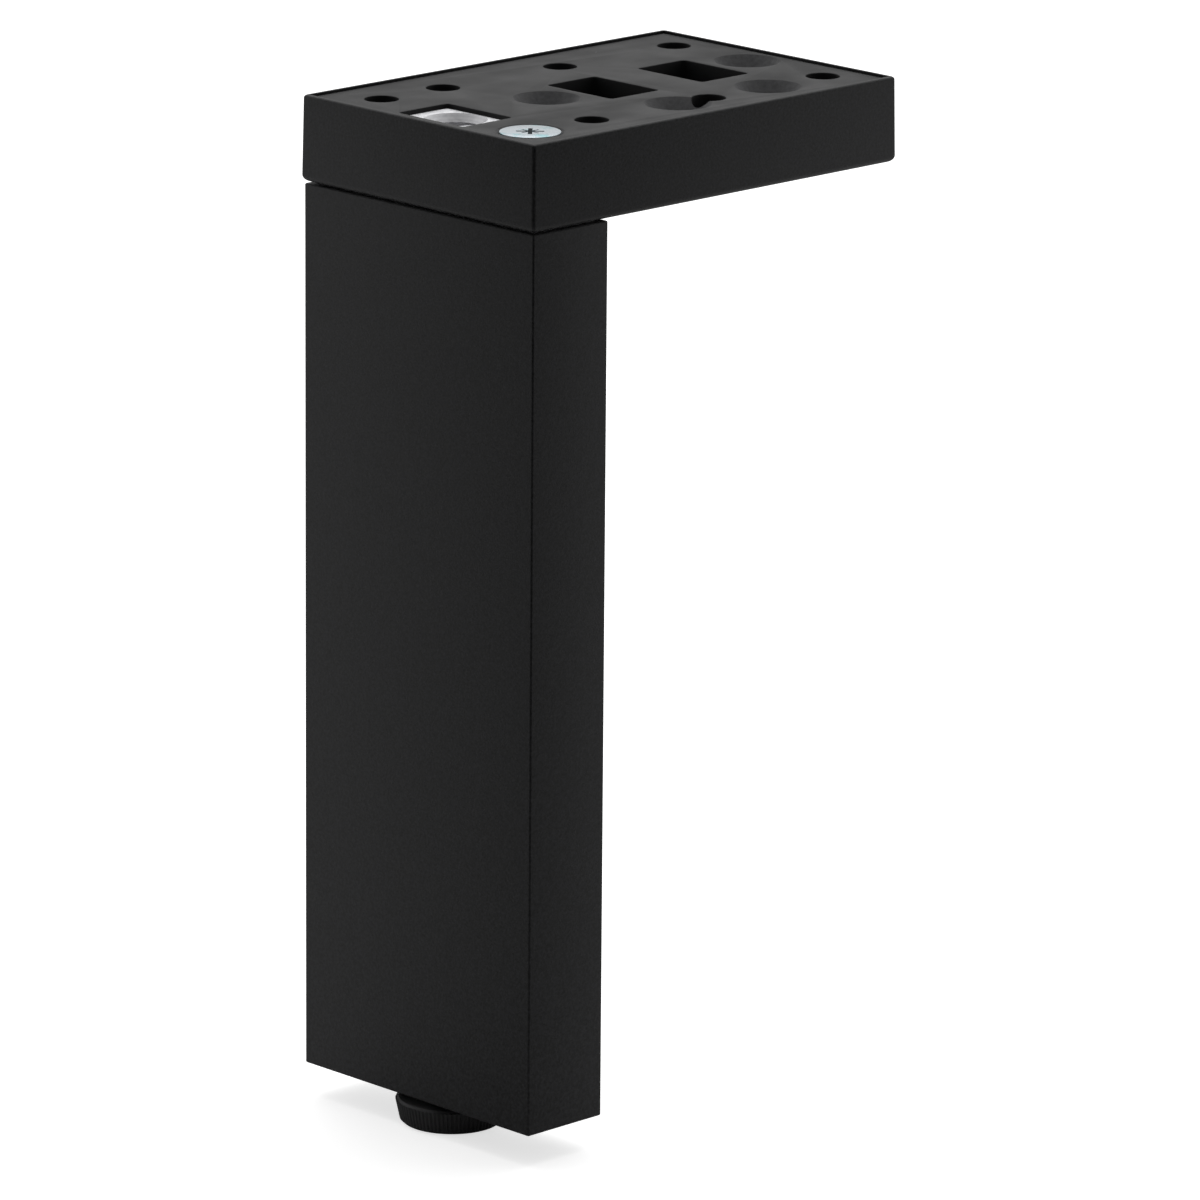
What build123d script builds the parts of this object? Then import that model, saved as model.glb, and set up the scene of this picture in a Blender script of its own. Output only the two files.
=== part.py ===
from build123d import *
import os
from math import radians, tan

# Furniture leg: a flat tube under one end of a fixing plate, with a screw foot. Millimetres.
# The origin is the middle of the fixing holes, in the plane of the rim that goes against the furniture.
# X runs along the plate from the leg to the free end, Y across the plate, Z up.

os.makedirs("parts", exist_ok=True)

# Cover tray of the fixing plate
plate_length = 100.0
plate_width = 66.0
plate_height = 17.3
cover_draft = 0.85
cover_rim = 1.0
cover_floor = 2.0
cover_top_radius = 0.6
cover_bottom_radius = 1.3

# Moulded plate in the tray
deck_recess = 0.5
moulding_clearance = 0.15
moulding_edge_radius = 0.25
deck_thickness = 5.0
skirt_wall = 2.0
boss_wall = 2.2
rib_thickness = 1.6

# Fixing holes, in two rows of three
hole_pitch = 32.0
row_spacing = 42.0
end_margin = 9.0
fixing_hole_diameter = 6.8

# Countersunk screw seats
seat_hole_diameter = 6.4
seat_diameter = 13.4
seat_angle = 90.0
centre_seat_pitch = 55.7

# Rectangular sockets for the leg head's tower
socket_length = 13.2
socket_width = 18.4
socket_corner_radius = 0.8
socket_wall = 1.8
socket_pitch = 25.0
socket_middle = 4.0

# Leg tube
tube_depth = 20.0
tube_width = 65.0
tube_length = 181.1
tube_wall = 1.8
tube_corner_radius = 0.4
tube_end_chamfer = 0.2
leg_setback = 0.5

# Metal head in the top of the tube
plug_clearance = 0.1
head_depth = 26.0
head_proud = 0.4
head_wall = 3.0
tower_clearance = 0.2
tower_drop = 0.9
head_bore_diameter = 10.2
head_bore_chamfer = 1.2
head_bore_angle = 75.0

# Countersunk screw through the plate into the head
screw_diameter = 6.0
screw_length = 36.0
screw_head_diameter = 12.0
thread_clearance = 0.05
recess_span = 6.4
recess_width = 1.0
recess_depth = 1.8
recess_taper = 8.0
recess_turn = 45.0
recess_tick_span = 4.6
recess_tick_width = 0.4
recess_tick_depth = 0.3

# Plug in the bottom of the tube, with its nut
plug_height = 26.0
plug_recess = 0.3
plug_wall = 2.0
nut_seat_height = 9.0
nut_across_flats = 13.0
nut_height = 6.5
nut_clearance = 0.1

# Foot: a threaded stud in a ribbed disc
stud_diameter = 8.0
stud_clearance = 0.08
stud_reach = 28.0
stud_flange_diameter = 12.0
stud_flange_thickness = 1.6
stud_base = 1.2
disc_diameter = 22.8
disc_base_diameter = 20.6
disc_height = 5.1
disc_top_chamfer = 0.4
disc_base_chamfer = 0.6
foot_gap = 1.4
rib_count = 80
rib_height = 0.25
rib_ledge = 0.1

# Heights of the faces that pieces share
deck_top = -deck_recess
plate_bottom = -plate_height
floor_top = plate_bottom + cover_floor
tower_top = deck_top - tower_drop
tube_top = plate_bottom - head_proud
tube_bottom = tube_top - tube_length
plug_bottom = tube_bottom + plug_recess
nut_bottom = plug_bottom + nut_seat_height
nut_top = nut_bottom + nut_height
disc_top = tube_bottom - foot_gap
disc_bottom = disc_top - disc_height
stud_bottom = disc_bottom + stud_base

# Places along and across the plate
free_end_x = hole_pitch + end_margin
plate_x = free_end_x - plate_length / 2
leg_x = free_end_x - plate_length + leg_setback + tube_depth / 2
row_y = row_spacing / 2
socket_xs = [socket_middle - socket_pitch / 2, socket_middle + socket_pitch / 2]
centre_seats = [(socket_middle + side * centre_seat_pitch / 2, 0) for side in (-1, 1)]
side_seats = [(x, -row_y) for x in [leg_x] + socket_xs]
fixing_holes = [(x, y) for x in (-hole_pitch, 0, hole_pitch) for y in (-row_y, row_y)]
spare_leg_hole = (leg_x, row_y)
screw_place = (leg_x, -row_y)
sockets = [(x, 0) for x in [leg_x] + socket_xs]

# Upright planes and axes that the round pieces are turned on
foot_axis = Axis((leg_x, 0, 0), (0, 0, 1))
foot_plane = Plane((leg_x, 0, 0), x_dir=(1, 0, 0), z_dir=(0, -1, 0))
screw_axis = Axis((*screw_place, 0), (0, 0, 1))
screw_plane = Plane((*screw_place, deck_top), x_dir=(1, 0, 0), z_dir=(0, -1, 0))

# Inside of the tray, which the moulded plate fills up to a little below the rim
draft_inset = plate_height * tan(radians(cover_draft))
tray_length = plate_length - 2 * (draft_inset + cover_rim)
tray_width = plate_width - 2 * (draft_inset + cover_rim)
moulding_length = tray_length - 2 * moulding_clearance
moulding_width = tray_width - 2 * moulding_clearance
moulding_height = deck_top - floor_top

# Inside of the tube, which both plugs fill
bore_depth = tube_depth - 2 * tube_wall
bore_width = tube_width - 2 * tube_wall
plug_depth = bore_depth - 2 * plug_clearance
plug_width = bore_width - 2 * plug_clearance

# Powder-coated cover tray: drafted sides with rounded edges, straight inside, holes in its floor
with BuildPart() as plate_cover:
    with BuildSketch(Plane.XY.offset(plate_bottom)):
        with Locations((plate_x, 0)):
            Rectangle(plate_length, plate_width)
    extrude(amount=plate_height, taper=cover_draft)
    fillet(plate_cover.faces().sort_by(Axis.Z)[0].edges(), cover_bottom_radius)
    fillet(plate_cover.faces().sort_by(Axis.Z)[-1].edges(), cover_top_radius)
    with BuildSketch(Plane.XY.offset(floor_top)):
        with Locations((plate_x, 0)):
            Rectangle(tray_length, tray_width)
    extrude(amount=plate_height, mode=Mode.SUBTRACT)
    with BuildSketch(Plane.XY.offset(plate_bottom)):
        with Locations(fixing_holes):
            Circle(fixing_hole_diameter / 2)
        with Locations(screw_place, spare_leg_hole):
            Circle(seat_hole_diameter / 2)
        with Locations((leg_x, 0)):
            RectangleRounded(socket_length, socket_width, socket_corner_radius)
    extrude(amount=cover_floor, mode=Mode.SUBTRACT)
plate_cover.part.label = "plate_cover"
export_step(plate_cover.part, "parts/plate_cover.step")

# Moulded plate: a deck on a skirt, bosses round the holes, walls round the sockets, and ribs
with BuildPart() as mounting_plate:
    with BuildSketch(Plane.XY.offset(floor_top)):
        with Locations((plate_x, 0)):
            Rectangle(moulding_length, moulding_width)
    extrude(amount=moulding_height)
    fillet(mounting_plate.faces().sort_by(Axis.Z)[-1].edges(), moulding_edge_radius)
    with BuildSketch(Plane.XY.offset(floor_top)):
        with Locations((plate_x, 0)):
            Rectangle(moulding_length - 2 * skirt_wall, moulding_width - 2 * skirt_wall)
        with Locations(fixing_holes + [spare_leg_hole]):
            Circle(fixing_hole_diameter / 2 + boss_wall, mode=Mode.SUBTRACT)
        with Locations(side_seats + centre_seats):
            Circle(seat_hole_diameter / 2 + boss_wall, mode=Mode.SUBTRACT)
        with Locations(sockets):
            Rectangle(
                socket_length + 2 * socket_wall,
                socket_width + 2 * socket_wall,
                mode=Mode.SUBTRACT,
            )
        with Locations((plate_x, -row_y), (plate_x, 0), (plate_x, row_y)):
            Rectangle(moulding_length, rib_thickness, mode=Mode.SUBTRACT)
        with Locations([(x, 0) for x in (leg_x, -hole_pitch, 0, hole_pitch)]):
            Rectangle(rib_thickness, moulding_width, mode=Mode.SUBTRACT)
    extrude(amount=moulding_height - deck_thickness, mode=Mode.SUBTRACT)
    with BuildSketch(Plane.XY.offset(floor_top)):
        with Locations(fixing_holes + [spare_leg_hole]):
            Circle(fixing_hole_diameter / 2)
        with Locations(sockets):
            RectangleRounded(socket_length, socket_width, socket_corner_radius)
    extrude(amount=moulding_height, mode=Mode.SUBTRACT)
    with Locations([(x, y, deck_top) for x, y in side_seats + centre_seats]):
        CounterSinkHole(seat_hole_diameter / 2, seat_diameter / 2, moulding_height, seat_angle)
mounting_plate.part.label = "mounting_plate"
export_step(mounting_plate.part, "parts/mounting_plate.step")

# Extruded rectangular tube, its end just short of the underside of the cover
with BuildPart() as leg_tube:
    with BuildSketch(Plane.XY.offset(tube_bottom)):
        with Locations((leg_x, 0)):
            RectangleRounded(tube_depth, tube_width, tube_corner_radius)
            Rectangle(bore_depth, bore_width, mode=Mode.SUBTRACT)
    extrude(amount=tube_length)
    ends = leg_tube.faces().sort_by(Axis.Z)
    chamfer(ends[0].outer_wire().edges() + ends[-1].outer_wire().edges(), tube_end_chamfer)
leg_tube.part.label = "leg_tube"
export_step(leg_tube.part, "parts/leg_tube.step")

# Cast head: a plug that carries the plate, and a tower through the plate's socket with a chamfered bore
tower_length = socket_length - 2 * tower_clearance
tower_width = socket_width - 2 * tower_clearance
head_pocket = row_y - screw_diameter / 2 - head_wall - tower_width / 2
head_pocket_y = (tower_width + head_pocket) / 2
with BuildPart() as leg_head:
    with BuildSketch(Plane.XY.offset(plate_bottom)):
        with Locations((leg_x, 0)):
            Rectangle(plug_depth, plug_width)
    extrude(amount=-head_depth)
    with BuildSketch(Plane.XY.offset(plate_bottom)):
        with Locations((leg_x, 0)):
            RectangleRounded(tower_length, tower_width, socket_corner_radius)
    extrude(amount=tower_top - plate_bottom)
    with BuildSketch(Plane.XY.offset(plate_bottom - head_depth)):
        with Locations((leg_x, -head_pocket_y), (leg_x, head_pocket_y)):
            Rectangle(plug_depth - 2 * head_wall, head_pocket)
    extrude(amount=head_depth - head_wall, mode=Mode.SUBTRACT)
    with Locations((leg_x, 0, tower_top)):
        CounterSinkHole(
            head_bore_diameter / 2,
            head_bore_diameter / 2 + head_bore_chamfer,
            counter_sink_angle=head_bore_angle,
        )
    with Locations((*screw_place, plate_bottom), (*spare_leg_hole, plate_bottom)):
        Hole(screw_diameter / 2 + thread_clearance, head_depth)
leg_head.part.label = "leg_head"
export_step(leg_head.part, "parts/leg_head.step")

# Countersunk screw: its cone rests in the seat with the head flush with the deck
head_land = (seat_diameter - screw_head_diameter) / 2
head_height = (seat_diameter - screw_diameter) / 2
head_plane = Plane((*screw_place, deck_top))
with BuildPart() as fixing_screw:
    with BuildSketch(screw_plane):
        with BuildLine():
            Polyline(
                (0, 0),
                (screw_head_diameter / 2, 0),
                (screw_head_diameter / 2, -head_land),
                (screw_diameter / 2, -head_height),
                (screw_diameter / 2, -screw_length),
                (0, -screw_length),
                close=True,
            )
        make_face()
    revolve(axis=screw_axis)
    with BuildSketch(head_plane):
        Rectangle(recess_span, recess_width, rotation=recess_turn)
        Rectangle(recess_width, recess_span, rotation=recess_turn)
    extrude(amount=-recess_depth, taper=recess_taper, mode=Mode.SUBTRACT)
    with BuildSketch(head_plane):
        Rectangle(recess_tick_span, recess_tick_width, rotation=recess_turn + 45)
        Rectangle(recess_tick_width, recess_tick_span, rotation=recess_turn + 45)
    extrude(amount=-recess_tick_depth, mode=Mode.SUBTRACT)
fixing_screw.part.label = "fixing_screw"
export_step(fixing_screw.part, "parts/fixing_screw.step")

# Moulded plug in the tube's bottom end: walls, a middle block for the nut, and a bore for the stud
nut_pocket_flats = nut_across_flats + 2 * nut_clearance
nut_block = nut_pocket_flats / 3**0.5 + plug_wall
plug_pocket = plug_width / 2 - plug_wall - nut_block
plug_pocket_y = nut_block + plug_pocket / 2
with BuildPart() as end_plug:
    with BuildSketch(Plane.XY.offset(plug_bottom)):
        with Locations((leg_x, 0)):
            Rectangle(plug_depth, plug_width)
    extrude(amount=plug_height)
    with BuildSketch(Plane.XY.offset(plug_bottom + plug_wall)):
        with Locations((leg_x, -plug_pocket_y), (leg_x, plug_pocket_y)):
            Rectangle(plug_depth - 2 * plug_wall, plug_pocket)
    extrude(amount=plug_height, mode=Mode.SUBTRACT)
    with BuildSketch(Plane.XY.offset(nut_bottom)):
        with Locations((leg_x, 0)):
            RegularPolygon(nut_pocket_flats / 2, 6, major_radius=False, rotation=30)
    extrude(amount=plug_height, mode=Mode.SUBTRACT)
    with Locations((leg_x, 0, nut_bottom)):
        Hole(stud_diameter / 2 + stud_clearance, nut_seat_height)
end_plug.part.label = "end_plug"
export_step(end_plug.part, "parts/end_plug.step")

# Hexagon nut that rests in the plug's pocket
with BuildPart() as foot_nut:
    with BuildSketch(Plane.XY.offset(nut_bottom)):
        with Locations((leg_x, 0)):
            RegularPolygon(nut_across_flats / 2, 6, major_radius=False, rotation=30)
    extrude(amount=nut_height)
    with Locations((leg_x, 0, nut_top)):
        Hole(stud_diameter / 2 + stud_clearance, nut_height)
foot_nut.part.label = "foot_nut"
export_step(foot_nut.part, "parts/foot_nut.step")

# Stud with a flange at its foot, which the disc is moulded round
stud_top = disc_top + stud_reach
with BuildPart() as foot_stud:
    with BuildSketch(foot_plane):
        with BuildLine():
            Polyline(
                (0, stud_bottom),
                (stud_flange_diameter / 2, stud_bottom),
                (stud_flange_diameter / 2, stud_bottom + stud_flange_thickness),
                (stud_diameter / 2, stud_bottom + stud_flange_thickness),
                (stud_diameter / 2, stud_top),
                (0, stud_top),
                close=True,
            )
        make_face()
    revolve(axis=foot_axis)
foot_stud.part.label = "foot_stud"
export_step(foot_stud.part, "parts/foot_stud.step")

# Crown of ribs round the disc's side, which leans in towards the floor
side_slope = (disc_diameter - disc_base_diameter) / 2 / disc_height
crown_top = disc_top - disc_top_chamfer
crown_bottom = disc_bottom + disc_base_chamfer
crest_top = disc_diameter / 2 - side_slope * disc_top_chamfer
crest_bottom = disc_base_diameter / 2 + side_slope * disc_base_chamfer
root_share = 1 - rib_height / crest_top


def crown_corners(crest_radius):
    """Corners of the crown's outline: rib crests, with the roots of the grooves between them."""
    half_pitch = 180 / rib_count
    radii = [crest_radius, crest_radius * root_share] * rib_count
    return [Vector(radius, 0).rotate(Axis.Z, i * half_pitch) for i, radius in enumerate(radii)]


# Moulded disc: ribbed side, chamfered edges, and a cavity that holds the stud's flange
with BuildPart() as foot_disc:
    for height, crest_radius in ((crown_bottom, crest_bottom), (crown_top, crest_top)):
        with BuildSketch(Plane((leg_x, 0, height))):
            with BuildLine():
                Polyline(*crown_corners(crest_radius), close=True)
            make_face()
    loft(ruled=True)
    with BuildSketch(foot_plane) as half:
        with BuildLine():
            Polyline(
                (0, disc_bottom),
                (disc_base_diameter / 2 - rib_height - rib_ledge, disc_bottom),
                (disc_diameter / 2 - rib_height - rib_ledge, disc_top),
                (0, disc_top),
                close=True,
            )
        make_face()
        chamfer(half.vertices().sort_by(Axis.X)[-1], disc_top_chamfer)
        chamfer(half.vertices().group_by(Axis.Y)[0].sort_by(Axis.X)[-1], disc_base_chamfer)
    revolve(axis=foot_axis)
    with BuildSketch(foot_plane):
        with BuildLine():
            Polyline(
                (0, stud_bottom),
                (stud_flange_diameter / 2 + stud_clearance, stud_bottom),
                (stud_flange_diameter / 2 + stud_clearance, stud_bottom + stud_flange_thickness),
                (stud_diameter / 2 + stud_clearance, stud_bottom + stud_flange_thickness),
                (stud_diameter / 2 + stud_clearance, disc_top),
                (0, disc_top),
                close=True,
            )
        make_face()
    revolve(axis=foot_axis, mode=Mode.SUBTRACT)
foot_disc.part.label = "foot_disc"
export_step(foot_disc.part, "parts/foot_disc.step")
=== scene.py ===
import logging
import math
from contextlib import contextmanager
from dataclasses import dataclass
from enum import Enum
from functools import partial
from typing import Any, Callable, Iterator, Sequence

import bmesh
import bpy
from mathutils import Matrix, Vector


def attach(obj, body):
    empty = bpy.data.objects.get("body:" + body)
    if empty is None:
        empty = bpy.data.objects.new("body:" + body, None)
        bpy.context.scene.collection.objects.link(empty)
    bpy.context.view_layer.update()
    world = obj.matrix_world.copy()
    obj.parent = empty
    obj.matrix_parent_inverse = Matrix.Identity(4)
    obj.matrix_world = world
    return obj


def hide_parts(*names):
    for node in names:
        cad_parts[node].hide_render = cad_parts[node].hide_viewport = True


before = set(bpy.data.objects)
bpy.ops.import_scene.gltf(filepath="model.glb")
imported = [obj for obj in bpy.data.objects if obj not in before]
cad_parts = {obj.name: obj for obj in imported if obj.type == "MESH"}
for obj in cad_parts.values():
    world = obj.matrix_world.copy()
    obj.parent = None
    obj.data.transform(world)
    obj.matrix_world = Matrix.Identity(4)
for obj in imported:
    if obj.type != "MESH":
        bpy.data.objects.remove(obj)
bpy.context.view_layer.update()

# Furniture leg: a flat tube under one end of a fixing plate, with a screw foot.
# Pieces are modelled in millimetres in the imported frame, and brought to metres when they are finished.

LOG = logging.getLogger("furniture_leg")
MM = 0.001

# How far a cutter stands past the faces that it cuts, and how deep the start of a drawn shape is
OVERLAP = 1.0
START_DEPTH = 1.0

# Places closer than the first are taken as one, and points closer than the second are merged
NEAR = 1e-3
MERGE = 1e-4

# An edge that runs up a corner leans sideways by less than the first, and is longer than the second
CORNER_LEAN = 0.5
CORNER_LEAST = 0.025

# Upward part of the normal of a face that looks up, and the steepest fold that is shaded smooth
UPWARD = 0.9
SMOOTH_FOLD = 32.0

# Range that most values of a noise pattern lie in
NOISE_SPAN = (0.3, 0.7)

Place = tuple[float, float]
Span = tuple[float, float]
Ring = tuple[float, float, float]
Triple = tuple[float, float, float]
Shape = bpy.types.Object
Material = bpy.types.Material
PairTest = Callable[[Vector, Vector], bool]
NodeAdder = Callable[..., bpy.types.Node]


class Body(str, Enum):
    """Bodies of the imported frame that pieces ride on."""

    LEG = "leg"
    SPINDLE = "spindle"
    DISC = "disc"


class Slot(str, Enum):
    """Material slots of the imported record."""

    POWDER_COAT = "black_powder_coat"
    MOULDING = "black_moulding"
    FOOT_MOULDING = "foot_moulding"
    CAST_METAL = "cast_metal"
    ZINC_PLATE = "zinc_plate"


class Cut(str, Enum):
    """What a second shape does to the first."""

    TAKE_AWAY = "DIFFERENCE"
    JOIN = "UNION"
    KEEP_COMMON = "INTERSECT"


class Element(str, Enum):
    """What can be picked in a mesh."""

    POINTS = "VERT"
    EDGES = "EDGE"
    FACES = "FACE"


# Modelling by hand in millimetres


def activate(obj: Shape) -> None:
    """Selects one object alone and makes it the active one.

    Args:
        obj: Object to select.
    """
    bpy.ops.object.select_all(action="DESELECT")
    obj.select_set(True)
    bpy.context.view_layer.objects.active = obj


@contextmanager
def edit_mode(obj: Shape) -> Iterator[None]:
    """Opens an object's mesh for editing by its points, with nothing in it selected.

    Args:
        obj: Object to edit.

    Yields:
        Nothing, while the mesh is open.
    """
    activate(obj)
    bpy.ops.object.mode_set(mode="EDIT")
    bpy.ops.mesh.select_mode(type="VERT")
    bpy.ops.mesh.select_all(action="DESELECT")
    try:
        yield
    finally:
        bpy.ops.object.mode_set(mode="OBJECT")


def settle(obj: Shape, name: str) -> Shape:
    """Names a new primitive and puts its place, turn and scale into its mesh.

    Args:
        obj: New primitive.
        name: Name of the object and of its mesh.

    Returns:
        The same object.
    """
    obj.name = name
    obj.data.name = name
    activate(obj)
    bpy.ops.object.transform_apply(location=True, rotation=True, scale=True)
    return obj


def block(name: str, low: Sequence[float], high: Sequence[float], turn: float = 0.0) -> Shape:
    """Adds a rectangular block.

    Args:
        name: Name of the object.
        low: Lowest corner.
        high: Highest corner.
        turn: Turn about the block's upright middle line, in degrees.

    Returns:
        The block, with its place in its mesh.
    """
    low, high = Vector(low), Vector(high)
    bpy.ops.mesh.primitive_cube_add(
        size=1, location=(low + high) / 2, scale=high - low, rotation=(0, 0, math.radians(turn))
    )
    return settle(bpy.context.object, name)


def pick(obj: Shape, kind: Element, test: Callable[..., bool]) -> None:
    """Selects points, edges or faces, in edit mode.

    Args:
        obj: Object in edit mode.
        kind: What is selected.
        test: Takes a point's place, an edge's two ends, or a face's middle and normal, and tells whether it
            is selected.
    """
    bpy.ops.mesh.select_mode(type=kind.value)
    bpy.ops.mesh.select_all(action="DESELECT")
    mesh = bmesh.from_edit_mesh(obj.data)
    if kind is Element.POINTS:
        found = [(point, (point.co,)) for point in mesh.verts]
    elif kind is Element.EDGES:
        found = [(edge, (edge.verts[0].co, edge.verts[1].co)) for edge in mesh.edges]
    else:
        found = [(face, (face.calc_center_median(), face.normal)) for face in mesh.faces]
    for element, places in found:
        element.select_set(test(*places))
    bmesh.update_edit_mesh(obj.data)


def upright(a: Vector, b: Vector) -> bool:
    """Tells whether an edge runs straight up."""
    return (a.xy - b.xy).length < NEAR < abs(a.z - b.z)


def runs_up(a: Vector, b: Vector) -> bool:
    """Tells whether an edge runs up a corner, straight or leaning a little."""
    return (a.xy - b.xy).length < CORNER_LEAN and (a - b).length > CORNER_LEAST


def level(a: Vector, b: Vector, height: float) -> bool:
    """Tells whether an edge lies at a height."""
    return abs(a.z - height) < NEAR and abs(b.z - height) < NEAR


def draw_up(obj: Shape, at: Place, rings: Sequence[Ring]) -> None:
    """Draws the top of a start through rings, cuts away the start and closes the shape at the first ring.

    Args:
        obj: Start of the shape, whose top is the first ring.
        at: Middle of the rings across the plate.
        rings: Half size along X, half size along Y and height of each ring.
    """
    bottom = rings[0][2]
    with edit_mode(obj):
        pick(obj, Element.FACES, lambda middle, normal: normal.z > UPWARD)
        for (x0, y0, z0), (x1, y1, z1) in zip(rings, rings[1:]):
            bpy.ops.mesh.extrude_region_move(TRANSFORM_OT_translate={"value": (0, 0, z1 - z0)})
            bpy.ops.transform.resize(value=(x1 / x0, y1 / y0, 1), center_override=(*at, z1))
        pick(obj, Element.POINTS, lambda co: co.z < bottom - START_DEPTH / 2)
        bpy.ops.mesh.delete(type="VERT")
        pick(obj, Element.EDGES, lambda a, b: level(a, b, bottom))
        bpy.ops.mesh.edge_face_add()


def stack(name: str, at: Place, rings: Sequence[Ring]) -> Shape:
    """Makes a rectangular shape from the bottom up, ring by ring.

    Args:
        name: Name of the object.
        at: Middle of the rings across the plate.
        rings: Half size along X, half size along Y and height of each ring.

    Returns:
        The closed shape.
    """
    x, y, z = rings[0]
    start = block(name, (at[0] - x, at[1] - y, z - START_DEPTH), (at[0] + x, at[1] + y, z))
    draw_up(start, at, rings)
    return start


def turned(name: str, at: Place, profile: Sequence[Place], sides: int = 72) -> Shape:
    """Makes a round shape from the bottom up, as on a lathe.

    Args:
        name: Name of the object.
        at: Place of its upright axis.
        profile: Radius and height of each ring.
        sides: Points round each ring.

    Returns:
        The closed round shape.
    """
    radius, z = profile[0]
    middle = (*at, z - START_DEPTH / 2)
    bpy.ops.mesh.primitive_cylinder_add(
        vertices=sides, radius=radius, depth=START_DEPTH, location=middle, end_fill_type="NGON"
    )
    start = settle(bpy.context.object, name)
    draw_up(start, at, [(r, r, height) for r, height in profile])
    return start


def combine(target: Shape, others: Sequence[Shape], cut: Cut = Cut.TAKE_AWAY) -> None:
    """Takes shapes away from a target, or joins them to it, and removes them.

    Args:
        target: Object that is changed.
        others: Shapes that do the cutting or joining. They may cross each other.
        cut: What they do.
    """
    for other in others:
        with edit_mode(other):
            bpy.ops.mesh.select_all(action="SELECT")
            bpy.ops.mesh.normals_make_consistent(inside=False)
        activate(target)
        change = target.modifiers.new("change", "BOOLEAN")
        change.operation = cut.value
        change.solver = "EXACT"
        change.object = other
        bpy.ops.object.modifier_apply(modifier=change.name)
        activate(other)
        bpy.ops.object.delete()


def round_edges(obj: Shape, test: PairTest, size: float, steps: int) -> None:
    """Bevels edges.

    Args:
        obj: Object that is changed.
        test: Takes an edge's two ends, and tells whether it is bevelled.
        size: Width of the bevel on each side.
        steps: Strips in the bevel.
    """
    with edit_mode(obj):
        pick(obj, Element.EDGES, test)
        bpy.ops.mesh.bevel(offset=size, segments=steps, affect="EDGES", clamp_overlap=False)


def quarter(low: float, high: float, steps: int) -> list[Place]:
    """Cosine and sine of evenly spaced angles, in degrees."""
    angles = [math.radians(low + (high - low) * i / steps) for i in range(steps + 1)]
    return [(math.cos(a), math.sin(a)) for a in angles]


def rounded_lip(size: float, top: float, steps: int = 4) -> list[Place]:
    """Steps of a rounded lip: how far each lies from the straight side, and its height."""
    return [(size * (1 - c), top - size * (1 - s)) for c, s in quarter(0, 90, steps)]


def deliver(obj: Shape, node: str, body: Body, material: Material) -> None:
    """Brings a finished piece to metres and puts it in the frame in place of its CAD node.

    Args:
        obj: Finished piece, in millimetres.
        node: CAD node that it stands for.
        body: Body that it rides on.
        material: Finish of the whole piece.
    """
    with edit_mode(obj):
        bpy.ops.mesh.select_all(action="SELECT")
        bpy.ops.mesh.remove_doubles(threshold=MERGE)
        bpy.ops.mesh.normals_make_consistent(inside=False)
    activate(obj)
    obj.scale = (MM, MM, MM)
    bpy.ops.object.transform_apply(location=True, rotation=True, scale=True)
    bpy.ops.object.shade_smooth_by_angle(angle=math.radians(SMOOTH_FOLD))
    obj.data.materials.clear()
    obj.data.materials.append(material)
    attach(obj, body.value)
    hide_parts(node)
    faces = len(obj.data.polygons)
    LOG.info("%s: %d faces, rides on %s, finish %s", obj.name, faces, body.value, material.name)


# Finishes


def linear(hex_colour: str) -> tuple[float, float, float, float]:
    """Turns an sRGB hex colour into the linear colour that shaders take."""
    parts = [int(hex_colour[i : i + 2], 16) / 255 for i in (1, 3, 5)]
    return (*[c / 12.92 if c <= 0.04045 else ((c + 0.055) / 1.055) ** 2.4 for c in parts], 1.0)


def per_size(size_mm: float) -> float:
    """Pattern scale, in repeats to the metre, that gives features of a real size."""
    return 1 / (size_mm * MM)


def add_node(
    tree: bpy.types.NodeTree, kind: str, inputs: dict[str, Any] | Sequence[Any] = (), **settings: Any
) -> bpy.types.Node:
    """Adds one node to a tree.

    Args:
        tree: Node tree of a material or the world.
        kind: Node type.
        inputs: Values of the inputs, by name or in order. A hex colour is made linear. An output is linked
            instead, and a node stands for the first of its outputs that is in use.
        settings: Properties of the node.

    Returns:
        The new node.
    """
    node = tree.nodes.new(kind)
    for key, value in settings.items():
        setattr(node, key, value)
    for key, value in inputs.items() if isinstance(inputs, dict) else enumerate(inputs):
        if isinstance(value, bpy.types.Node):
            value = next(output for output in value.outputs if output.enabled)
        if isinstance(value, bpy.types.NodeSocket):
            tree.links.new(value, node.inputs[key])
        else:
            node.inputs[key].default_value = linear(value) if isinstance(value, str) else value
    return node


def empty_tree(owner: Material | bpy.types.World) -> NodeAdder:
    """Empties the node tree of a material or the world.

    Args:
        owner: Material or world.

    Returns:
        The function that adds nodes to the tree.
    """
    owner.use_nodes = True
    owner.node_tree.nodes.clear()
    return partial(add_node, owner.node_tree)


def new_material(name: str) -> tuple[Material, NodeAdder, bpy.types.NodeSocket]:
    """Starts a material.

    Args:
        name: Name of the material.

    Returns:
        The material, the function that adds nodes to it, and the object coordinates.
    """
    material = bpy.data.materials.new(name)
    add = empty_tree(material)
    return material, add, add("ShaderNodeTexCoord").outputs["Object"]


def end_material(
    add: NodeAdder, looks: dict[str, Any], height: bpy.types.Node, strength: float, depth_mm: float
) -> None:
    """Ends a material with its surface, roughened by a height pattern.

    Args:
        add: Function that adds nodes to the material.
        looks: Inputs of the surface shader.
        height: Height pattern.
        strength: Strength of the pattern.
        depth_mm: Depth of the pattern, in millimetres.
    """
    bump = add("ShaderNodeBump", {"Height": height, "Strength": strength, "Distance": depth_mm * MM})
    surface = add("ShaderNodeBsdfPrincipled", {**looks, "Normal": bump})
    add("ShaderNodeOutputMaterial", {"Surface": surface})


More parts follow.
